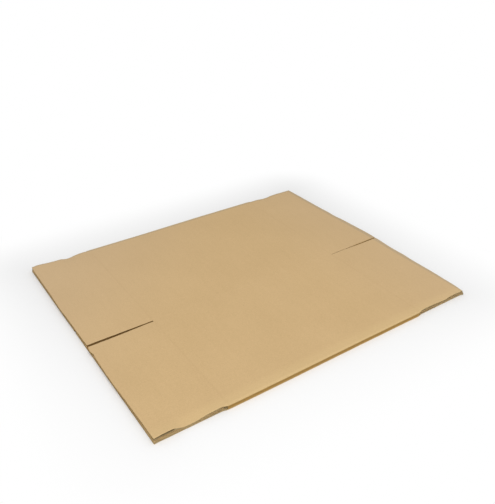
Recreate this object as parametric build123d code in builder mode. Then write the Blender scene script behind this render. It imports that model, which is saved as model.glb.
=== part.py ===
from build123d import *
import os

os.makedirs("parts", exist_ok=True)

# A slotted shipping carton of double-wall board, knocked down flat as it leaves the gluing machine.
# One blank goes round as panels of two sizes: it is folded over at two opposite corners of the
# carton, lies open at the third, and is closed at the fourth by a glued tab.
# X runs along the flutes, from the bottom flaps to the top flaps, Y across the panels and Z up.
# The origin is the middle of the underside.

# Sizes of the carton when it is set up
panel_length = 500
panel_width = 400
panel_height = 670

# Board: a coarse flute on the inside and a fine one on the outside, between three liners
board_thickness = 7
coarse_flute_height = 3.3
fine_flute_height = 2.4
layer_gap = 2

# Folded corners, seen from the end
fold_radius = 2.5
fold_wall = 5
fold_groove_radius = 2
groove_lip_radius = 1.2

# Slots between the flaps, and how far the flutes stand open along the cuts
slot_width = 8
flap_corner_radius = 3
cut_flute_depth = 2.5

# Creases where the flaps bend, and at the corner that lies open
crease_width = 9
crease_depth = 0.7

# Glued corner
seam_gap = 4
tab_width = 38
tab_sunk = 2.5
tab_proud = 0.6
tab_end_slant = 12

# Dents pressed into the upper long edges while the carton was bundled
front_dent_from_end = 97
back_dent_from_end = 127
dent_width = 54
front_dent_depth = 5.5
back_dent_depth = 4.5

# The outer flaps meet in the middle, so each flap is half as deep as the carton is wide
flap_depth = panel_width / 2
sheet_length = panel_height + 2 * flap_depth
sheet_width = panel_length + panel_width
sheet_height = 2 * board_thickness + layer_gap
upper_layer_base = board_thickness + layer_gap
flap_crease_x = panel_height / 2
liner_thickness = (board_thickness - coarse_flute_height - fine_flute_height) / 3

# Lines between the panels: the narrow panel is in front above, and at the back below
front_fold = -sheet_width / 2
back_fold = sheet_width / 2
upper_crease_y = front_fold + panel_width
lower_seam_y = back_fold - panel_width


def arc_radius(width, depth):
    """Radius of a round cut that is as wide and deep as this in a flat face."""
    return (width**2 / 4 + depth**2) / (2 * depth)


crease_radius = arc_radius(crease_width, crease_depth)
crease_axis_z = sheet_height + crease_radius - crease_depth


def flap_row(narrow_centre, wide_centre):
    """Outlines of the four flaps of one layer, two at each end of the sheet."""
    flap_centre_x = (sheet_length - flap_depth) / 2
    with BuildSketch() as row:
        for centre, panel in ((narrow_centre, panel_width), (wide_centre, panel_length)):
            with Locations((-flap_centre_x, centre), (flap_centre_x, centre)):
                Rectangle(flap_depth, panel - slot_width)
        by_end = row.vertices().group_by(Axis.X)
        fillet(by_end[0] + by_end[-1], flap_corner_radius)
    return row.sketch


upper_flaps = flap_row(front_fold + panel_width / 2, back_fold - panel_length / 2)
lower_flaps = flap_row(back_fold - panel_width / 2, front_fold + panel_length / 2)


with BuildPart() as flat_carton:
    # The panels: two layers of board joined at the folds, which bulge above and below a groove
    with BuildSketch(Plane.YZ.offset(-panel_height / 2)) as section:
        with Locations((0, sheet_height / 2)):
            Rectangle(sheet_width, sheet_height)
        fillet(section.vertices(), fold_radius)
        with Locations((front_fold, sheet_height / 2), (back_fold, sheet_height / 2)):
            Circle(fold_groove_radius, mode=Mode.SUBTRACT)
        lips = section.vertices().group_by(Axis.X)
        fillet(lips[0].sort_by(Axis.Y)[1:-1] + lips[-1].sort_by(Axis.Y)[1:-1], groove_lip_radius)
        with Locations((0, sheet_height / 2)):
            SlotOverall(sheet_width - 2 * fold_wall, layer_gap, mode=Mode.SUBTRACT)
    extrude(amount=panel_height)

    # The flaps, cut apart by the slots and free of each other above and below
    with BuildSketch(Plane.XY):
        add(lower_flaps)
    extrude(amount=board_thickness)
    with BuildSketch(Plane.XY.offset(upper_layer_base)):
        add(upper_flaps)
    extrude(amount=board_thickness)

    # The glue tab bears on the inside of the narrow lower panel, and the panel's edge stops short
    with BuildSketch(Plane.XY.offset(board_thickness)):
        with BuildLine():
            Polyline(
                (-flap_crease_x, lower_seam_y),
                (flap_crease_x, lower_seam_y),
                (flap_crease_x - tab_end_slant, lower_seam_y + tab_width),
                (-flap_crease_x + tab_end_slant, lower_seam_y + tab_width),
                close=True,
            )
        make_face()
    extrude(amount=tab_proud)
    with BuildSketch(Plane.XY):
        with Locations((0, lower_seam_y)):
            Rectangle(panel_height, seam_gap)
    extrude(amount=board_thickness - tab_sunk, mode=Mode.SUBTRACT)

    # Flap creases, across both faces at both ends
    with BuildSketch(Plane.XZ.offset(-sheet_width / 2)):
        for x in (-flap_crease_x, flap_crease_x):
            with Locations((x, crease_axis_z), (x, sheet_height - crease_axis_z)):
                Circle(crease_radius)
    extrude(amount=sheet_width, mode=Mode.SUBTRACT)

    # The corner crease that lies open, between the two upper slots
    with BuildSketch(Plane.YZ.offset(-flap_crease_x)):
        with Locations((upper_crease_y, crease_axis_z)):
            Circle(crease_radius)
    extrude(amount=panel_height, mode=Mode.SUBTRACT)

    # Beside each cut the knife has laid a flute open, between one liner and the next
    coarse_flute_z = upper_layer_base + liner_thickness + coarse_flute_height / 2
    fine_flute_z = sheet_height - liner_thickness - fine_flute_height / 2
    for start in (-sheet_length / 2, flap_crease_x + crease_width / 2):
        with BuildSketch(Plane.YZ.offset(start)):
            for z, height in ((coarse_flute_z, coarse_flute_height), (fine_flute_z, fine_flute_height)):
                with Locations((front_fold, z), (upper_crease_y, z), (back_fold, z)):
                    Rectangle(slot_width + 2 * cut_flute_depth, height)
                below = sheet_height - z
                with Locations((front_fold, below), (lower_seam_y, below), (back_fold, below)):
                    Rectangle(slot_width + 2 * cut_flute_depth, height)
        extrude(amount=flap_depth - crease_width / 2, mode=Mode.SUBTRACT)

    # Dents, centred on the flaps' cut edges
    front_dents = (front_fold + slot_width / 2, front_dent_from_end, front_dent_depth)
    back_dents = (back_fold - slot_width / 2, back_dent_from_end, back_dent_depth)
    for dent_y, from_end, depth in (front_dents, back_dents):
        dent_x = sheet_length / 2 - from_end
        radius = arc_radius(dent_width, depth)
        centre_z = sheet_height + radius - depth
        with Locations((-dent_x, dent_y, centre_z), (dent_x, dent_y, centre_z)):
            Sphere(radius, mode=Mode.SUBTRACT)

flat_carton.part.label = "flat_carton"
export_step(flat_carton.part, "parts/flat_carton.step")
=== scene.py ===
import math

import bmesh
import bpy
import numpy as np
from mathutils import Euler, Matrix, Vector


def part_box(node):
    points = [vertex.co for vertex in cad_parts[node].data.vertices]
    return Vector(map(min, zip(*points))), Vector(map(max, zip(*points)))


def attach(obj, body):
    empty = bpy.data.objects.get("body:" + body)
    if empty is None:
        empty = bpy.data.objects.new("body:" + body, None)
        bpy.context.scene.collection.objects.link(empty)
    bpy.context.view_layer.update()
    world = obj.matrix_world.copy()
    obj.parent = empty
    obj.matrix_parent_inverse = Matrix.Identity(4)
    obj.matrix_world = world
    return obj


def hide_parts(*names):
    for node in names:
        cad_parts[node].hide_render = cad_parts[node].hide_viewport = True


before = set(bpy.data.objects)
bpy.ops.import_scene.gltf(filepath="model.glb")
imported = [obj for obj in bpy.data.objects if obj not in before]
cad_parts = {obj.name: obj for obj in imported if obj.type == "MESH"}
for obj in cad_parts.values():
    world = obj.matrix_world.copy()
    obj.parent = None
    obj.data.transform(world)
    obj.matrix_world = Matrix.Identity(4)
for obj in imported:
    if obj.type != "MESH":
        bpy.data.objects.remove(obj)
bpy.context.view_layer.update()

MM = 0.001

# The carton's sizes, in metres: its outline comes from the frame
lowest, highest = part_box("flat_carton")
sheet_length = highest[0] - lowest[0]
sheet_width = highest[1] - lowest[1]
sheet_height = highest[2] - lowest[2]
end_x = highest[0]
front_y = lowest[1]
back_y = highest[1]
middle_z = (lowest[2] + highest[2]) / 2

panel_width = 400 * MM
panel_length = sheet_width - panel_width
flap_depth = panel_width / 2
flap_crease_x = end_x - flap_depth
flap_corner_radius = 3 * MM
slot_width = 8 * MM
seam_gap = 4 * MM

tab_width = 38 * MM
tab_sunk = 2.5 * MM
tab_proud = 0.6 * MM
tab_end_slant = 12 * MM

# The flaps' long cut edges, and the slots, which are in front of the middle above and behind it below
flap_edge_y = back_y - slot_width / 2
slot_y = back_y - panel_width

# The board, from its inner face to its outer one: liner, coarse flute, middle liner, fine flute, liner
board = 7 * MM
layer_gap = sheet_height - 2 * board
liner_thickness = 0.4 * MM
middle_liner_low = 3.75 * MM
middle_liner_high = middle_liner_low + liner_thickness
outer_liner_low = board - liner_thickness
coarse_flute = {
    "low": liner_thickness, "high": middle_liner_low, "pitch": 7.9 * MM, "skew": 0.011, "phase": 0.9}
fine_flute = {
    "low": middle_liner_high, "high": outer_liner_low, "pitch": 6.4 * MM, "skew": 0.016, "phase": 2.3}
medium_thickness = 0.28 * MM
points_in_a_wave = 10

# How far the flutes wander off straight, and how fast along their length, in radians a metre
flute_wander = 0.6 * MM
flute_wander_turn = 31

# How far the flutes are made: back from the flap creases, in from the open ends, and beside the cuts
flute_start = 15 * MM
flute_depth = 25 * MM
flute_strip = 15 * MM

# Distances round the flat blank, from the glued corner: the wide lower panel comes first, then the
# narrow upper one, the wide upper one and the narrow lower one
front_fold_u = panel_length
open_crease_u = front_fold_u + panel_width
back_fold_u = open_crease_u + panel_length
blank_end_u = back_fold_u + panel_width
panel_lines = (0, front_fold_u, open_crease_u, back_fold_u, blank_end_u)

# Folds, as sections across them: an upright face with a groove, a round shoulder, and the board's face
fold_reach = 12 * MM
upright_part = 0.3
shoulder_part = 0.6
upright_height = 5.4 * MM
shoulder_depth = 1.1 * MM
fold_wall = 5 * MM
fold_groove = 1.6 * MM
fold_groove_width = 1.2 * MM
unfold_reach = 14 * MM

# Creases, and the board pinched by the knife along its cuts: the inner face gives way less
crease_depth = 0.38 * MM
crease_width = 3.6 * MM
open_crease_share = 0.8
inner_crease_share = 0.6
knife_pinch = 0.45 * MM
knife_reach = 3 * MM
inner_pinch_share = 0.4

# The upper slots as they lie: (x side, width at the crease and at the mouth, how far out from the
# crease it starts to open and is open, how far it lies off its line at the crease and at the mouth)
upper_slots = (
    (-1, 4.8 * MM, 8.7 * MM, 0, 150 * MM, 4.3 * MM, 2.5 * MM),
    (1, 1.2 * MM, 3.4 * MM, 40 * MM, 150 * MM, -1.0 * MM, -3.9 * MM),
)
slot_narrows_over = 40 * MM
slot_drifts_over = 60 * MM

# Unevenness, as sums of waves: (their lengths, a number that says where they fall)
flap_waves = ((0.52, 0.31), 3.0)
panel_waves = ((0.9, 0.55), 1.0)
board_waves = ((0.13, 0.085), 5.0)
pinch_waves = ((0.041, 0.023), 8.0)
end_cut_waves = ((0.11, 0.047, 0.019), 2.0)
side_cut_waves = ((0.09, 0.04), 4.0)
fold_waves = ((0.21, 0.08, 0.03), 6.0)

# How far the upper flaps rise toward their ends, the upper face swells and ripples, and the cuts waver
flap_rise = 1 * MM
face_swell = 0.35 * MM
face_ripple = 0.14 * MM
end_cut_waver = 0.35 * MM
side_cut_waver = 0.3 * MM
fold_waver = 0.35 * MM

# Dents in the upper long edges: (x side, y side, from the end, depth, widths of its outer and inner half)
dents = (
    (-1, -1, 97 * MM, 7 * MM, 30 * MM, 36 * MM),
    (1, -1, 97 * MM, 2.6 * MM, 20 * MM, 22 * MM),
    (-1, 1, 127 * MM, 5 * MM, 22 * MM, 19 * MM),
    (1, 1, 127 * MM, 3.4 * MM, 24 * MM, 22 * MM),
)
dent_reach = 26 * MM

# Arches beside the dents: (x side, y side, from the end, widths of its outer and inner half, rise)
arches = (
    (-1, -1, 44 * MM, 26 * MM, 16 * MM, 0.3 * MM),
    (1, -1, 44 * MM, 30 * MM, 16 * MM, 0.5 * MM),
    (-1, 1, 20 * MM, 30 * MM, 34 * MM, 4.2 * MM),
    (-1, 1, 176 * MM, 20 * MM, 18 * MM, 1.5 * MM),
)
arch_reach = 38 * MM

# Outer liner that has come loose along a flap's edge: (x, y side, half lengths to its left and right, lift)
loose_liners = (
    (-486 * MM, -1, 70 * MM, 9 * MM, 2.9 * MM),
    (366 * MM, -1, 20 * MM, 20 * MM, 0.5 * MM),
    (492 * MM, -1, 15 * MM, 15 * MM, 0.7 * MM),
    (-400 * MM, 1, 18 * MM, 18 * MM, 0.5 * MM),
    (470 * MM, 1, 16 * MM, 16 * MM, 0.6 * MM),
)
loose_reach = 13 * MM

# For a lift of 1, how far that liner leans out and how far the flutes under it are crushed
loose_leans_out = 0.35
loose_crushes = 0.55

# Knocks in the ends of the upper layer: (x side, y, half length, inward, down), and a bulge outward or
# a rise where a number is below 0
knocks = (
    (-1, -36 * MM, 14 * MM, 1.0 * MM, 0.4 * MM),
    (-1, -69 * MM, 12 * MM, -2.0 * MM, 0.1 * MM),
    (-1, 168 * MM, 68 * MM, -1.8 * MM, 0.2 * MM),
    (-1, -205 * MM, 78 * MM, -2.0 * MM, 0.2 * MM),
    (-1, -400 * MM, 46 * MM, 1.0 * MM, 0.3 * MM),
    (-1, 436 * MM, 12 * MM, 1.4 * MM, 1.2 * MM),
    (1, -440 * MM, 17 * MM, 3.6 * MM, 0.5 * MM),
    (1, -410 * MM, 75 * MM, 3.0 * MM, 1.2 * MM),
    (1, -45 * MM, 90 * MM, -1.8 * MM, -2.4 * MM),
    (1, 60 * MM, 170 * MM, -3.2 * MM, -2.6 * MM),
    (1, -185 * MM, 32 * MM, -2.6 * MM, -0.3 * MM),
    (1, 160 * MM, 18 * MM, 1.2 * MM, 0.8 * MM),
)
knock_reach_share = 1.3

# The narrow upper flap's end, torn back beside the left slot: where it starts and is deepest, in front
# of the middle, the step it ends at, how far it reaches in, and how far it is torn in and down
torn_from = 76 * MM
torn_to = 95 * MM
torn_step = 7 * MM
torn_reach = 14 * MM
torn_inward = 2.8 * MM
torn_down = 0.9 * MM

# The back edge lies a little in and low on the left, and the front fold bulges toward the left
back_edge_inward = 2.2 * MM
back_edge_down = 1.3 * MM
fold_bulge = 1.6 * MM
fold_bulge_x = -230 * MM
fold_bulge_width = 250 * MM

# How far the folds' ends lie off the flap creases: (x side, outward)
fold_end_shift = ((-1, 3 * MM), (1, -3 * MM))

# Flap corners that aren't as round as the rest: (x side, line between panels, side of it, radius)
odd_corners = (
    (1, front_fold_u, 1, 7 * MM),
    (1, front_fold_u, -1, 16 * MM),
    (-1, back_fold_u, -1, 6 * MM),
    (-1, front_fold_u, 1, 4 * MM),
    (1, back_fold_u, -1, 5 * MM),
    (-1, open_crease_u, -1, 4.5 * MM),
    (1, open_crease_u, -1, 1 * MM),
    (1, open_crease_u, 1, 1 * MM),
)

# Where the flat sheets are scored so that they can bend: off a flap crease, in from an end, off a fold
# on both sides, off the open crease, and beside a cut
crease_scores = [place * MM for place in (-9, -6, -4.2, -2.6, -1.2, 0, 1.2, 2.6, 4.2, 6, 9)]
crease_scores.append(unfold_reach)
end_scores = [place * MM for place in (0.8, 1.8, 3, 4.5, 6.5, 10)]
dent_scores = [place * MM for place in range(32, 170, 5)]
fold_scores = [part * fold_reach for part in (1, 0.8, 0.6, 0.54, 0.48, 0.42, 0.36, 0.3, 0.2, 0.12, 0.06, 0)]
open_crease_scores = [place * MM for place in (-6.5, -4.2, -2.6, -1.2, 0, 1.2, 2.6, 4.2, 6.5)]
cut_scores = [place * MM for place in (0, 1, 2, 3.2, 4.5, 6.5, 9.5, 13, 17, 21, 26, 31, 36)]

# The same for the flutes' papers
flute_crease_scores = [place * MM for place in (-8, -4, -2, 2, 4, 8, 14, 30, 46)]
flute_end_scores = [place * MM for place in (19.5, 14.5, 10, 6, 2.5, 1)]


def blend(a, b, share):
    """a where share is 0, b where it is 1."""
    return a + (b - a) * share


def rise(value, start, end):
    """0 before start, 1 after end, with a smooth climb between them."""
    share = np.clip((value - start) / (end - start), 0, 1)
    return share * share * (3 - 2 * share)


def hump(value, centre, width):
    """1 at the centre, falling smoothly to 0 on both sides."""
    return np.exp(-(((value - centre) / width) ** 2))


def ripple(x, y, lengths, seed):
    """Gentle unevenness between about -1 and 1, as a sum of waves that each run another way."""
    total = np.zeros_like(x)
    for number, length in enumerate(lengths):
        turn = seed * 1.7 + number * 2.4
        along = math.cos(turn) * x + math.sin(turn) * y
        across = math.cos(turn + 1.9) * x + math.sin(turn + 1.9) * y
        total += np.sin(along * 2 * math.pi / length + seed) * np.cos(across * 5 / length + number)
    return total / len(lengths)


def cut_distance(u):
    """How far a place round the blank is from the nearest line where flaps are cut apart."""
    return np.min([np.abs(u - line) for line in panel_lines], axis=0)


def pressed(x, u):
    """How far the board's outer and inner faces are pressed in at a place on the blank."""
    at_flap_crease = hump(np.abs(x), flap_crease_x, crease_width)
    between_slots = rise(flap_crease_x - np.abs(x), 0, 4 * MM)
    at_open_crease = hump(u, open_crease_u, crease_width) * between_slots
    crease = np.maximum(at_flap_crease, open_crease_share * at_open_crease)

    on_flap = rise(np.abs(x), flap_crease_x, flap_crease_x + knife_reach)
    at_side_cut = on_flap * (1 - rise(cut_distance(u) - slot_width / 2, 0, knife_reach))
    pinch = np.maximum(rise(np.abs(x), end_x - knife_reach, end_x), at_side_cut)
    pinch = pinch * knife_pinch * (1 + 0.6 * ripple(x, u, *pinch_waves))

    # At the glued corner the outer face slopes down to the tab, and the inner one makes room for it
    slope = (board - tab_sunk) * (1 - rise(u, seam_gap / 2, seam_gap / 2 + 5 * MM)) * (1 - on_flap)
    tab_end = flap_crease_x - tab_end_slant / 2
    tab_edge = blank_end_u - tab_width
    under_tab = rise(u, tab_edge - 1 * MM, tab_edge + 1 * MM) * rise(tab_end - np.abs(x), 0, 3 * MM)
    outer = np.maximum(crease_depth * crease + pinch, slope)
    inner = inner_crease_share * crease_depth * crease + inner_pinch_share * pinch
    return outer, np.maximum(inner, tab_sunk * under_tab)


def fold_section(reach, share):
    """Depth behind the fold's face and height off its middle, at a share of the board's thickness."""
    part = np.clip(reach / fold_reach, 0, 1)
    turn = np.clip((part - upright_part) / (shoulder_part - upright_part), 0, 1) * math.pi / 2
    round_height = upright_height + (sheet_height / 2 - upright_height) * np.sin(turn)
    outer_height = np.where(part < upright_part, upright_height * part / upright_part, round_height)
    flat_share = (part - shoulder_part) / (1 - shoulder_part)
    flat_depth = shoulder_depth + (fold_reach - shoulder_depth) * flat_share
    outer_depth = np.where(part < shoulder_part, shoulder_depth * (1 - np.cos(turn)), flat_depth)
    outer_depth = outer_depth + fold_groove * hump(outer_height, 0, fold_groove_width)
    inner_height = layer_gap / 2 * np.sqrt(part * (2 - part))
    inner_depth = fold_wall + (fold_reach - fold_wall) * part
    return blend(inner_depth, outer_depth, share), blend(inner_height, outer_height, share)


def round_corners(x, u):
    """Rounds the flaps' corners, where a cut edge meets the free end."""
    lines = np.array(panel_lines)
    line = lines[np.argmin(np.abs(u[:, None] - lines), axis=1)]
    side = np.where(u < line, -1, 1)
    radius = np.full(x.shape, flap_corner_radius)
    for x_side, odd_line, odd_side, odd_radius in odd_corners:
        odd = (x * x_side > 0) & (line == odd_line) & (side == odd_side)
        radius = np.where(odd, odd_radius, radius)
    toward_end = radius - (end_x - np.abs(x))
    toward_cut = radius - (np.abs(u - line) - slot_width / 2)
    outside = (toward_end > 0) & (toward_cut > 0)
    scale = np.maximum(toward_end, toward_cut) / np.maximum(np.hypot(toward_end, toward_cut), 1e-9)
    shift = np.where(outside, 1 - scale, 0)
    return x - np.sign(x) * toward_end * shift, u - side * toward_cut * shift


def shape_slots(x, u):
    """Draws the upper slots: wider at the mouth than at the crease, and a little off their line."""
    out = np.abs(x) - flap_crease_x
    offset = u - open_crease_u
    side_of_slot = np.clip(offset / (slot_width / 2), -1, 1)
    by_slot = rise(out, -25 * MM, -2 * MM) * (1 - rise(np.abs(offset), slot_width / 2, slot_narrows_over))
    drifts = rise(out, -120 * MM, 0) * hump(offset, 0, slot_drifts_over)
    for side, end_width, mouth_width, opens_from, open_at, end_drift, mouth_drift in upper_slots:
        opened = rise(out, opens_from, open_at)
        here = x * side > 0
        narrowing = slot_width - blend(end_width, mouth_width, opened)
        u = u - here * by_slot * side_of_slot * narrowing / 2
        u = u + here * drifts * blend(end_drift, mouth_drift, opened)
    return u


def shift_fold_ends(x, u):
    """Moves the places where the folds end to where the knife cut them."""
    from_fold = np.minimum(np.abs(u - front_fold_u), np.abs(u - back_fold_u))
    near_fold = 1 - rise(from_fold, fold_reach, 60 * MM)
    for side, outward in fold_end_shift:
        x = x + side * outward * near_fold * hump(x, side * flap_crease_x, 30 * MM)
    return x


def face_height(x, y, out, from_edge):
    """How far the upper layer lies above its place, being lifted at the flaps and swollen between edges."""
    lift = rise(out, -20 * MM, flap_depth) * (0.25 + 0.75 * ripple(x, y, *flap_waves)) * flap_rise
    swell = face_swell * (1 + ripple(x, y, *panel_waves)) * rise(from_edge, 0, 80 * MM)
    return lift + swell + face_ripple * ripple(x, y, *board_waves)


def press_long_edges(x, z, side, from_edge, share, upper):
    """Raises the arches of the upper long edges and presses their dents."""
    for x_side, y_side, from_end, outer_width, inner_width, height in arches:
        beyond = x * x_side - (end_x - from_end)
        arch = height * hump(beyond, 0, np.where(beyond > 0, outer_width, inner_width)) * (side == y_side)
        z = z + upper * arch * hump(from_edge, 0, arch_reach)
    for x_side, y_side, from_end, depth, outer_width, inner_width in dents:
        beyond = x * x_side - (end_x - from_end)
        outer_half = np.exp(-((beyond / outer_width) ** 4))
        dent = depth * np.where(beyond > 0, outer_half, hump(beyond, 0, inner_width)) * (side == y_side)
        z = z - upper * dent * hump(from_edge, 0, dent_reach) * (0.25 + 0.75 * share)
    return z


def loosen_liner(x, y, z, side, from_edge, share, upper, comes_loose):
    """Bows the outer liner off the flutes here and there, and crushes the flutes under it."""
    for loose_x, loose_side, left, right, lift in loose_liners:
        loose = hump(x, loose_x, np.where(x < loose_x, left, right)) * hump(from_edge, 0, loose_reach)
        loose = loose * upper * (side == loose_side) * lift
        crushed = -loose_crushes * loose * rise(share, 0.6, 0.95)
        y = y - side * loose_leans_out * loose * comes_loose
        z = z + np.where(comes_loose, loose, crushed)
    return y, z


def wear_ends(x, y, z, share, upper):
    """Knocks the ends of the upper layer, and tears the narrow flap's end."""
    for x_side, knock_y, half_length, inward, down in knocks:
        reach = knock_reach_share * half_length
        worn = hump(y, knock_y, half_length) * hump(x, x_side * end_x, reach) * upper
        x = x - x_side * inward * worn
        z = z - down * worn
    torn = rise(-y, torn_from, torn_to) * (1 - rise(-y, torn_to, torn_to + torn_step))
    torn = torn * rise(-x, end_x - torn_reach, end_x) * upper
    x = x + torn_inward * torn * (0.6 + 0.4 * share)
    z = z - torn_down * torn * share
    return x, z


def settle_long_edges(x, y, z, upper):
    """Draws the back edge in and down on the left, and bulges the front fold."""
    on_left = 1 - rise(x, -200 * MM, 150 * MM)
    y = y - back_edge_inward * rise(y, back_y - 60 * MM, back_y) * on_left
    z = z - back_edge_down * upper * rise(y, back_y - 120 * MM, back_y) * on_left
    y = y - fold_bulge * hump(x, fold_bulge_x, fold_bulge_width) * rise(y, front_y + 20 * MM, front_y)
    return y, z


def waver_edges(x, y, z, out, from_edge):
    """Takes the ends, the flaps' cut edges and the folds a little off straight."""
    x = x + rise(np.abs(x), end_x - 6 * MM, end_x) * end_cut_waver * ripple(y, z * 9, *end_cut_waves)
    at_side_cut = rise(-from_edge, -6 * MM, 0) * rise(out, 0, 10 * MM)
    y = y + at_side_cut * side_cut_waver * ripple(x, z, *side_cut_waves)
    at_fold = rise(-from_edge, -8 * MM, 0) * rise(-out, 0, 10 * MM)
    y = y + at_fold * fold_waver * ripple(x, z, *fold_waves)
    return x, y


def bend(x, y, z, share, upper, comes_loose):
    """The carton's unevenness: lifted flaps, dents in the long edges, and knocks along the ends."""
    out = np.abs(x) - flap_crease_x
    side = np.sign(y)
    from_edge = flap_edge_y - np.abs(y)
    z = z + upper * face_height(x, y, out, from_edge)
    z = press_long_edges(x, z, side, from_edge, share, upper)
    y, z = loosen_liner(x, y, z, side, from_edge, share, upper, comes_loose)
    x, z = wear_ends(x, y, z, share, upper)
    y, z = settle_long_edges(x, y, z, upper)
    x, y = waver_edges(x, y, z, out, from_edge)
    return x, y, np.maximum(z, lowest[2])


def fold_up(points, comes_loose):
    """Carries points of the flat blank, (along, round, through from the inside), to the carton."""
    x, u, through = np.asarray(points, float).T
    x, u = round_corners(x, u)
    drawn_u = shape_slots(x, u)
    outer_press, inner_press = pressed(x, u)
    share = through / board
    share = share + (inner_press * (1 - share) - outer_press * share) / board
    upper = (u >= front_fold_u) & (u < back_fold_u)
    up = np.where(upper, 1.0, -1.0)
    y = np.where(u < back_fold_u, front_y + np.abs(drawn_u - front_fold_u), back_y - (u - back_fold_u))
    height = layer_gap / 2 + share * board

    # Near a fold the board turns over, and a flap leaves that shape soon after its crease
    at_front = np.abs(u - front_fold_u) < np.abs(u - back_fold_u)
    reach = np.where(at_front, np.abs(u - front_fold_u), np.abs(u - back_fold_u))
    depth, fold_height = fold_section(reach, share)
    folded_y = np.where(at_front, front_y + depth, back_y - depth)
    on_panel = 1 - rise(np.abs(x), flap_crease_x + 1 * MM, flap_crease_x + unfold_reach)
    folded = (reach < fold_reach) * on_panel
    y = blend(y, folded_y, folded)
    z = middle_z + up * blend(height, fold_height, folded)
    x = shift_fold_ends(x, u)
    x, y, z = bend(x, y, z, share, upper.astype(float), comes_loose)
    return np.stack([x, y, z], axis=1)


class Socket:
    """A node's output that Python's operators turn into Math nodes."""

    def __init__(self, shader, output):
        self.shader = shader
        self.output = output

    def __add__(self, other):
        return self.shader.maths("ADD", self, other)

    def __sub__(self, other):
        return self.shader.maths("SUBTRACT", self, other)

    def __rsub__(self, other):
        return self.shader.maths("SUBTRACT", other, self)

    def __mul__(self, other):
        return self.shader.maths("MULTIPLY", self, other)

    def __abs__(self):
        return self.shader.maths("ABSOLUTE", self)

    __radd__ = __add__
    __rmul__ = __mul__


# Colours of the papers, from a darker place to a paler one, of what marks them, and of the shade and light
# painted on them
liner_dark, liner_pale = (0.552, 0.375, 0.178, 1), (0.688, 0.479, 0.245, 1)
flute_dark, flute_pale = (0.37, 0.255, 0.095, 1), (0.54, 0.39, 0.165, 1)
edge_dark, edge_pale = (0.41, 0.29, 0.115, 1), (0.72, 0.53, 0.245, 1)
# Painted shade, greyer toward the back and the right
painted_shade_grey = (0.602, 0.445, 0.292, 1)
fleck_dark, fleck_pale = (0.25, 0.16, 0.075, 1), (0.76, 0.58, 0.36, 1)
# Painted shade on the folds' upright faces
fold_shade_brown = (0.385, 0.22, 0.05, 1)
# A painted highlight, with a little wear, along the folds' tops
highlight_and_wear_pale = (0.82, 0.62, 0.3, 1)
# Painted light near the front
front_light_pale = (0.83, 0.63, 0.3, 1)
# Painted shade along the right end and the back edge
edge_shade_grey = (0.25, 0.25, 0.21, 1)
# Painted shade in the creases' troughs, and the cracks' colour
crease_shade_and_crack_brown = (0.36, 0.24, 0.115, 1)
# Painted shade of the right slot, on its lips
slot_lip_shade_brown = (0.36, 0.2, 0.035, 1)
# Painted shade inside the slots
slot_shade_brown = (0.26, 0.122, 0.024, 1)
long_edge_grey = (0.62, 0.57, 0.41, 1)
# Painted shade under the liner that stands up at the near left corner
under_liner_shade_brown = (0.17, 0.105, 0.045, 1)

# How much of their colour the slots' insides, the flaps' long cut edges and the crushed flutes take on: for
# the slots and the flutes it is painted shade
slot_shade_share = 0.78
long_edge_share = 0.27
under_liner_shade_share = 0.6

# How far the painted shade inside the upper slots, and on the right one's lips, lies behind the slots'
# line, or in front of it where a number is below 0
left_slot_shade_y = 2.7 * MM
right_slot_shade_y = -2.6 * MM
right_lip_y = -3.2 * MM

# Where shade is painted on the crushed flutes under the liner that stands up at the near left corner
under_liner_shade_x = -478 * MM
under_liner_shade_low_z = 12.4 * MM
under_liner_shade_high_z = 16.8 * MM


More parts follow.
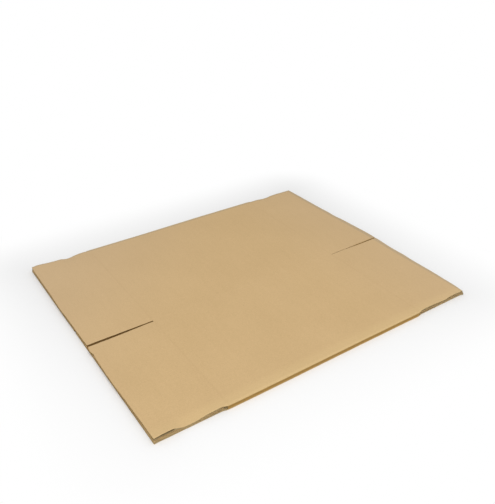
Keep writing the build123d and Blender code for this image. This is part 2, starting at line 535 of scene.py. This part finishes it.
class Shader:
    """A material whose nodes are made by calls."""

    def __init__(self, name):
        self.material = bpy.data.materials.new(name)
        self.material.use_nodes = True
        self.tree = self.material.node_tree
        self.tree.nodes.clear()
        self.place = Socket(self, self.node("ShaderNodeTexCoord").outputs["Object"])

    def node(self, kind, settings=None, sockets=None):
        """A node of this kind, with its settings made first and its sockets fed after."""
        made = self.tree.nodes.new(kind)
        for name, value in (settings or {}).items():
            setattr(made, name, value)
        for name, value in (sockets or {}).items():
            if isinstance(value, Socket):
                self.tree.links.new(value.output, made.inputs[name])
            else:
                made.inputs[name].default_value = value
        return made

    def maths(self, operation, *values):
        """One Math node, fed with these values."""
        made = self.node("ShaderNodeMath", {"operation": operation}, dict(enumerate(values)))
        return Socket(self, made.outputs[0])

    def axis(self, name):
        """One coordinate of the place on the object, in metres."""
        made = self.node("ShaderNodeSeparateXYZ", None, {"Vector": self.place})
        return Socket(self, made.outputs[name])

    def noise(self, per_metre, detail, roughness, stretch=(1, 1, 1)):
        """Cloudy noise with this many spots a metre, drawn out along an axis by a stretch below 1."""
        sized = self.node("ShaderNodeVectorMath", {"operation": "MULTIPLY"}, {0: self.place, 1: stretch})
        vector = Socket(self, sized.outputs[0])
        made = self.node("ShaderNodeTexNoise", None, {
            "Vector": vector, "Scale": per_metre, "Detail": detail, "Roughness": roughness})
        return Socket(self, made.outputs[0])

    def climb(self, value, start, end):
        """0 before start, 1 after end, with a smooth climb between them."""
        made = self.node("ShaderNodeMapRange", {"interpolation_type": "SMOOTHSTEP"}, {
            "Value": value, "From Min": start, "From Max": end})
        return Socket(self, made.outputs["Result"])

    def mix(self, share, first, second):
        """A colour between two others."""
        made = self.node("ShaderNodeMix", {"data_type": "RGBA"}, {0: share, 6: first, 7: second})
        return Socket(self, made.outputs[2])

    def in_slot(self):
        """1 beside a slot and 0 away from one, and then 1 between the carton's faces and 0 at them."""
        x, y, off_middle = self.axis("X"), self.axis("Y"), self.axis("Z") - middle_z
        left = self.maths("LESS_THAN", x, 0)
        drift = self.maths("LESS_THAN", y, 0) * (left * (left_slot_shade_y - right_slot_shade_y) + right_slot_shade_y)
        beside = 1 - self.climb(abs(abs(y) - slot_y + drift), 5.4 * MM, 7 * MM)
        own_layer = 1 - self.climb(self.maths("SIGN", y) * off_middle, 1.2 * MM, 1.7 * MM)
        on_flap = self.climb(abs(x), flap_crease_x - 2 * MM, flap_crease_x + 2 * MM)
        inside = 1 - self.climb(abs(off_middle), 6.2 * MM, 7 * MM)
        return beside * own_layer * on_flap, inside

    def by_right_slot(self):
        """1 on the face along the right upper slot, where the slot's shade is painted onto its lips, and 0
        away from it.
        """
        off_line = abs(self.axis("Y") + (slot_y - right_lip_y))
        along_slot = self.climb(self.axis("X"), flap_crease_x + 60 * MM, flap_crease_x + 130 * MM)
        return (1 - self.climb(off_line, 3 * MM, 6.5 * MM)) * along_slot

    def by_long_edge(self):
        """1 at the flaps' long cut edges and 0 away from them."""
        on_flap = self.climb(abs(self.axis("X")), flap_crease_x, flap_crease_x + 10 * MM)
        return self.climb(abs(self.axis("Y")), flap_edge_y - 8 * MM, flap_edge_y - 3 * MM) * on_flap

    def under_loose_liner(self):
        """1 on the crushed flutes under the liner that stands up at the near left corner, where shade is
        painted on them.
        """
        x, y, z = self.axis("X"), self.axis("Y"), self.axis("Z")
        past_start = self.climb(x, under_liner_shade_x, under_liner_shade_x - 6 * MM)
        by_edge = self.climb(y, -flap_edge_y + 12 * MM, -flap_edge_y + 5 * MM)
        above = self.climb(z, under_liner_shade_low_z, under_liner_shade_low_z + 1.4 * MM)
        below = 1 - self.climb(z, under_liner_shade_high_z - 0.5 * MM, under_liner_shade_high_z)
        return past_start * by_edge * above * below

    def bump(self, height, distance, strength):
        """The way a surface faces when this height stands out by this distance at most."""
        sockets = {"Height": height, "Distance": distance, "Strength": strength}
        return Socket(self, self.node("ShaderNodeBump", None, sockets).outputs["Normal"])

    def paper(self, colour, roughness, normal, specular):
        """Finishes the material as a matt surface."""
        surface = self.node("ShaderNodeBsdfPrincipled", None, {
            "Base Color": colour, "Roughness": roughness, "Specular IOR Level": specular, "Normal": normal})
        return self.show(surface)

    def show(self, surface):
        """Finishes the material with this shader."""
        output = self.node("ShaderNodeOutputMaterial")
        self.tree.links.new(surface.outputs[0], output.inputs["Surface"])
        return self.material


def kraft_liner():
    """Brown kraft liner: cloudy, fibrous, flecked, and faintly marked by the flutes under it."""
    s = Shader("kraft_liner")
    x, y = s.axis("X"), s.axis("Y")
    off_middle = abs(s.axis("Z") - middle_z)
    clouds = s.noise(5, 3, 0.5)
    formation = s.noise(330, 4, 0.65)
    streaks = s.noise(60, 3, 0.6, (1, 0.12, 1))
    fibres = s.noise(1500, 2, 0.5, (1, 0.14, 1))
    grain = s.noise(2600, 2, 0.6)
    flutes = s.maths("SINE", y * (2 * math.pi / fine_flute["pitch"]))
    tone = 0.5 + (clouds - 0.5) * 0.32 + (formation - 0.5) * 0.8
    tone = tone + (streaks - 0.5) * 0.16 + (fibres - 0.5) * 0.45 + flutes * 0.02
    colour = s.mix(s.climb(tone, 0, 1), liner_dark, liner_pale)

    # Greyer toward the back and the right, which is painted shade, with dark and pale flecks
    shade_toward_back_right = s.climb(y - x, 0.1, 0.95) * 0.34 + s.climb(x, 0.15, 0.6) * 0.24
    colour = s.mix(shade_toward_back_right, colour, painted_shade_grey)
    flecks = s.climb(s.noise(620, 1, 0.4, (1, 0.55, 1)), 0.715, 0.76)
    colour = s.mix(flecks * 0.35, colour, fleck_dark)
    pale = s.climb(s.noise(520, 1, 0.4, (0.35, 1, 1)), 0.73, 0.78)
    colour = s.mix(pale * 0.3, colour, fleck_pale)

    # Painted shade in brown on the folds' upright faces, a painted highlight with a little wear paler
    # beside them, painted light paler near the front, and painted shade greyer at two edges
    on_upright = 1 - s.climb(off_middle, 4.2 * MM, 6.4 * MM)
    at_fold = s.climb(abs(y), back_y - 2.6 * MM, back_y - 1.2 * MM) * on_upright
    cracks = s.climb(s.noise(900, 3, 0.6, (0.06, 1, 1)), 0.5, 0.75) * at_fold
    colour = s.mix(at_fold * 0.92, colour, fold_shade_brown)
    # A painted highlight with a little wear, paler along the tops of the folds
    rim = s.climb(abs(y), back_y - 8 * MM, back_y - 2.6 * MM) * (1 - at_fold)
    colour = s.mix(rim * 0.18, colour, highlight_and_wear_pale)
    # Painted light: paler near the front
    front_light = s.climb(y, front_y + 42 * MM, front_y + 12 * MM) * (1 - at_fold)
    colour = s.mix(front_light * 0.15, colour, front_light_pale)
    # Painted shade: greyer along the right end and the back edge
    edge_shade = s.climb(s.maths("MAXIMUM", x - end_x, y - back_y), -16 * MM, -7 * MM)
    colour = s.mix(edge_shade * 0.28, colour, edge_shade_grey)

    # Creases, with painted shade in their troughs, cracks, and painted shade in and beside the slots
    in_crease = 1 - s.climb(abs(abs(x) - flap_crease_x), 0.5 * MM, 5 * MM)
    colour = s.mix(in_crease * 0.05 + cracks * 0.25, colour, crease_shade_and_crack_brown)
    # Painted shade of the right slot, spread onto its lips
    colour = s.mix(s.by_right_slot() * 0.28, colour, slot_lip_shade_brown)
    beside, inside = s.in_slot()
    # Painted shade inside the slots
    colour = s.mix(beside * inside * slot_shade_share, colour, slot_shade_brown)
    roughness = 0.74 + (formation - 0.5) * 0.18 + in_crease * 0.05
    wrinkles = s.noise(240, 3, 0.6, (0.6, 2.2, 1)) * in_crease
    height = formation * 0.35 + grain * 0.18 + fibres * 0.22 + flutes * 0.16 + wrinkles * 1.6 - cracks * 1.6
    return s.paper(colour, roughness, s.bump(height, 0.16 * MM, 0.8), 0.25)


def fluting():
    """The rougher, greyer paper of the flutes."""
    s = Shader("fluting")
    clouds = s.noise(90, 3, 0.6)
    formation = s.noise(900, 3, 0.65)
    tone = 0.5 + (clouds - 0.5) * 0.8 + (formation - 0.5) * 0.9
    colour = s.mix(s.climb(tone, 0, 1), flute_dark, flute_pale)
    colour = s.mix(s.by_long_edge() * long_edge_share, colour, long_edge_grey)
    # Painted shade on the flutes under the standing liner
    colour = s.mix(s.under_loose_liner() * under_liner_shade_share, colour, under_liner_shade_brown)
    beside, _ = s.in_slot()
    # Painted shade inside the slots
    colour = s.mix(beside * slot_shade_share, colour, slot_shade_brown)
    return s.paper(colour, 0.85 + (formation - 0.5) * 0.1, s.bump(formation, 0.12 * MM, 0.7), 0.15)


def raw_edge():
    """The cut edge of a paper: pale torn fibres."""
    s = Shader("raw_edge")
    torn = s.noise(1500, 3, 0.7)
    patches = s.noise(140, 3, 0.6)
    tone = 0.5 + (torn - 0.5) * 1.1 + (patches - 0.5) * 0.9
    colour = s.mix(s.climb(tone, 0, 1), edge_dark, edge_pale)
    colour = s.mix(s.by_long_edge() * long_edge_share, colour, long_edge_grey)
    beside, _ = s.in_slot()
    # Painted shade inside the slots
    colour = s.mix(beside * slot_shade_share, colour, slot_shade_brown)
    return s.paper(colour, 0.9 - torn * 0.08, s.bump(torn, 0.2 * MM, 0.8), 0.1)


finishes = [kraft_liner(), raw_edge(), fluting()]
LINER, EDGE, FLUTING = range(3)

# Edges of a piece that turn by more than this are drawn sharp
sharp_angle = math.radians(50)


def score(sheet, axis, place):
    """Draws an edge line right across a flat sheet."""
    normal = Vector((0, 0, 0))
    normal[axis] = 1
    everything = sheet.verts[:] + sheet.edges[:] + sheet.faces[:]
    bmesh.ops.bisect_plane(sheet, geom=everything, plane_co=normal * place, plane_no=normal, dist=0.01 * MM)


def plain_sheet(x_start, x_end, u_start, u_end, x_cells, u_cells):
    """A flat sheet of even cells over part of the blank."""
    sheet = bmesh.new()
    bmesh.ops.create_grid(sheet, x_segments=x_cells, y_segments=u_cells, size=0.5)
    bmesh.ops.scale(sheet, vec=(x_end - x_start, u_end - u_start, 1), verts=sheet.verts)
    middle = ((x_start + x_end) / 2, (u_start + u_end) / 2, 0)
    bmesh.ops.translate(sheet, vec=middle, verts=sheet.verts)
    return sheet


def cut_out(face):
    """True where a slot, a cut-back flap edge or the seam leaves no board."""
    x, u, _ = face.calc_center_median()
    on_flap = abs(x) > flap_crease_x
    half_cut = slot_width / 2 if on_flap else seam_gap / 2
    if u < half_cut or u > blank_end_u - half_cut:
        return True
    return on_flap and any(abs(u - line) < half_cut for line in (front_fold_u, open_crease_u, back_fold_u))


def trim(sheet):
    """Cuts the blank's slots and edges out of a sheet."""
    gone = [face for face in sheet.faces if cut_out(face)]
    bmesh.ops.delete(sheet, geom=gone, context="FACES")


def thicken(sheet, thickness):
    """Gives a flat sheet its thickness, upward from where it lies."""
    grown = bmesh.ops.extrude_face_region(sheet, geom=sheet.faces[:])
    raised = [item for item in grown["geom"] if isinstance(item, bmesh.types.BMVert)]
    bmesh.ops.translate(sheet, vec=(0, 0, thickness), verts=raised)
    bmesh.ops.recalc_face_normals(sheet, faces=sheet.faces)


def finish_faces(sheet, finish):
    """Smooth faces of one finish, but the edges of a flat sheet are cut ones."""
    sheet.normal_update()
    for face in sheet.faces:
        face.smooth = True
        upright = abs(face.normal.z) < 0.3
        face.material_index = EDGE if upright and finish == LINER else finish


def add_piece(name, sheet):
    """Makes an object of a piece, and says what it stands for."""
    mesh = bpy.data.meshes.new(name)
    sheet.to_mesh(mesh)
    sheet.free()
    for finish in finishes:
        mesh.materials.append(finish)
    mesh.set_sharp_from_angle(angle=sharp_angle)
    piece = bpy.data.objects.new(name, mesh)
    bpy.context.scene.collection.objects.link(piece)
    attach(piece, "root")
    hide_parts("flat_carton")


def add_folded(name, sheet, comes_loose=False):
    """Folds a finished sheet of the blank into the carton, and makes a piece of it."""
    points = np.array([point.co[:] for point in sheet.verts])
    for point, place in zip(sheet.verts, fold_up(points, comes_loose)):
        point.co = place
    add_piece(name, sheet)


def liner(name, low, cell, comes_loose=False):
    """A flat liner over the whole blank, with its lower face this far from the board's inside."""
    x_cells, u_cells = round(sheet_length / cell), round(blank_end_u / cell)
    sheet = plain_sheet(-end_x, end_x, 0, blank_end_u, x_cells=x_cells, u_cells=u_cells)
    for side in (-1, 1):
        for place in crease_scores:
            score(sheet, 0, side * (flap_crease_x + place))
        for place in end_scores + dent_scores:
            score(sheet, 0, side * (end_x - place))
    for fold in (front_fold_u, back_fold_u):
        for place in fold_scores:
            score(sheet, 1, fold - place)
            score(sheet, 1, fold + place)
    for place in open_crease_scores:
        score(sheet, 1, open_crease_u + place)
    for line in panel_lines:
        for place in cut_scores:
            score(sheet, 1, line - slot_width / 2 - place)
            score(sheet, 1, line + slot_width / 2 + place)
    for edge in (seam_gap / 2, blank_end_u - seam_gap / 2, blank_end_u - tab_width):
        score(sheet, 1, edge)
    trim(sheet)
    bmesh.ops.translate(sheet, vec=(0, 0, low), verts=sheet.verts)
    thicken(sheet, liner_thickness)
    finish_faces(sheet, LINER)
    add_folded(name, sheet, comes_loose)


def out_of_sight(face):
    """True well inside a flap, where no open end or cut edge shows the flutes."""
    x, u, _ = face.calc_center_median()
    return abs(x) < end_x - flute_depth and cut_distance(u) > slot_width / 2 + flute_strip


def medium(name, side, form):
    """One flute's wavy paper at one end of the carton, past the flap creases."""
    columns = round(blank_end_u / form["pitch"] * points_in_a_wave)
    left_x, right_x = sorted((side * (flap_crease_x - flute_start), side * end_x))
    sheet = plain_sheet(left_x, right_x, 0, blank_end_u, x_cells=1, u_cells=columns)
    score(sheet, 0, side * flap_crease_x)
    score(sheet, 0, side * (end_x - flute_depth))
    for line in panel_lines:
        for half_cut in (slot_width / 2, seam_gap / 2):
            score(sheet, 1, line - half_cut)
            score(sheet, 1, line + half_cut)
    trim(sheet)
    bmesh.ops.delete(sheet, geom=[face for face in sheet.faces if out_of_sight(face)], context="FACES")
    for place in flute_crease_scores:
        score(sheet, 0, side * (flap_crease_x + place))
    for place in dent_scores + flute_end_scores:
        score(sheet, 0, side * (end_x - place))
    middle = (form["low"] + form["high"]) / 2
    swing = (form["high"] - form["low"] - medium_thickness) / 2
    for point in sheet.verts:
        x, u, _ = point.co
        wander = form["skew"] * x + flute_wander * math.sin(x * flute_wander_turn + side)
        point.co.z = middle + swing * math.sin((u + wander) * 2 * math.pi / form["pitch"] + form["phase"])
    bmesh.ops.solidify(sheet, geom=sheet.faces[:], thickness=medium_thickness)
    bmesh.ops.recalc_face_normals(sheet, faces=sheet.faces)
    finish_faces(sheet, FLUTING)
    add_folded(name, sheet)


def glue_tab():
    """The tab inside the lower seam, crushed thin between the panels that it joins."""
    sheet = plain_sheet(-flap_crease_x, flap_crease_x, 0, tab_width, x_cells=60, u_cells=4)
    for point in sheet.verts:
        point.co.x *= 1 - tab_end_slant / flap_crease_x * point.co.y / tab_width
    place = (0, slot_y - seam_gap / 2, lowest[2] + board - tab_sunk)
    bmesh.ops.translate(sheet, vec=place, verts=sheet.verts)
    thicken(sheet, tab_sunk + tab_proud)
    finish_faces(sheet, LINER)
    add_piece("glue_tab", sheet)


liner("outer_liner", outer_liner_low, cell=20 * MM, comes_loose=True)
liner("middle_liner", middle_liner_low, cell=30 * MM)
liner("inner_liner", 0, cell=30 * MM)
for side, end in ((-1, "left"), (1, "right")):
    medium("coarse_flute_" + end, side, coarse_flute)
    medium("fine_flute_" + end, side, fine_flute)
glue_tab()


# How far off the carton's sides the floor is plain white to the camera, and where it starts to whiten:
# a little under them
white_at = 270 * MM
white_from = -30 * MM


def pale_floor():
    """Matt and pale round the carton, and plain white to the camera further off."""
    s = Shader("pale_floor")
    beside_x = s.maths("MAXIMUM", abs(s.axis("X")) - end_x, 0)
    beside_y = s.maths("MAXIMUM", abs(s.axis("Y")) - back_y, 0)
    away = s.maths("SQRT", beside_x * beside_x + beside_y * beside_y)
    rays = s.node("ShaderNodeLightPath")
    seen = Socket(s, rays.outputs["Is Camera Ray"]) + Socket(s, rays.outputs["Is Glossy Ray"])
    seen = seen + Socket(s, rays.outputs["Is Transmission Ray"])
    matt = s.node("ShaderNodeBsdfDiffuse", None, {"Color": (0.96, 0.96, 0.96, 1)})
    white = s.node("ShaderNodeEmission", None, {"Color": (1, 1, 1, 1), "Strength": 1.0})
    both = s.node("ShaderNodeMixShader", None, {0: s.climb(away, white_from, white_at) * seen})
    s.tree.links.new(matt.outputs[0], both.inputs[1])
    s.tree.links.new(white.outputs[0], both.inputs[2])
    return s.show(both)


def stage_floor():
    """A wide pale floor, just under the carton."""
    sheet = bmesh.new()
    bmesh.ops.create_grid(sheet, x_segments=1, y_segments=1, size=20)
    mesh = bpy.data.meshes.new("floor")
    sheet.to_mesh(mesh)
    sheet.free()
    floor = bpy.data.objects.new("floor", mesh)
    floor.location.z = lowest[2] - 0.3 * MM
    mesh.materials.append(pale_floor())
    bpy.context.scene.collection.objects.link(floor)


def softbox(name, place, size, watts):
    """A square lamp that faces the carton."""
    lamp = bpy.data.lights.new(name, "AREA")
    lamp.shape = "SQUARE"
    lamp.size = size
    lamp.energy = watts
    holder = bpy.data.objects.new(name, lamp)
    holder.location = place
    holder.rotation_euler = (-Vector(place)).to_track_quat("-Z", "Y").to_euler()
    bpy.context.scene.collection.objects.link(holder)


def even_world(strength):
    """Even light all round, which is plain white to the camera, in glossy surfaces and through glass."""
    world = bpy.data.worlds.new("studio")
    world.use_nodes = True
    nodes, links = world.node_tree.nodes, world.node_tree.links
    background = nodes["Background"]
    background.inputs["Color"].default_value = (1, 1, 1, 1)
    rays = nodes.new("ShaderNodeLightPath")
    seen = rays.outputs["Is Camera Ray"]
    for kind in ("Is Glossy Ray", "Is Transmission Ray"):
        both = nodes.new("ShaderNodeMath")
        links.new(seen, both.inputs[0])
        links.new(rays.outputs[kind], both.inputs[1])
        seen = both.outputs[0]
    level = nodes.new("ShaderNodeMapRange")
    level.inputs["To Min"].default_value = strength
    level.inputs["To Max"].default_value = 1
    links.new(seen, level.inputs["Value"])
    links.new(level.outputs["Result"], background.inputs["Strength"])
    bpy.context.scene.world = world


def camera(place, turn, lens):
    """The scene's camera, turned by these degrees."""
    eye = bpy.data.objects.new("camera", bpy.data.cameras.new("camera"))
    eye.location = place
    eye.rotation_euler = Euler([math.radians(angle) for angle in turn])
    eye.data.lens = lens
    eye.data.clip_end = 60
    bpy.context.scene.collection.objects.link(eye)
    bpy.context.scene.camera = eye


stage_floor()
softbox("key", place=(-0.7, -1.5, 3.1), size=2.2, watts=57.5)
even_world(strength=0.57)
camera(place=(-0.9039, -1.3711, 1.0772), turn=(59.579, 0.149, -34.217), lens=43.56)
bpy.context.scene.view_settings.view_transform = "Standard"
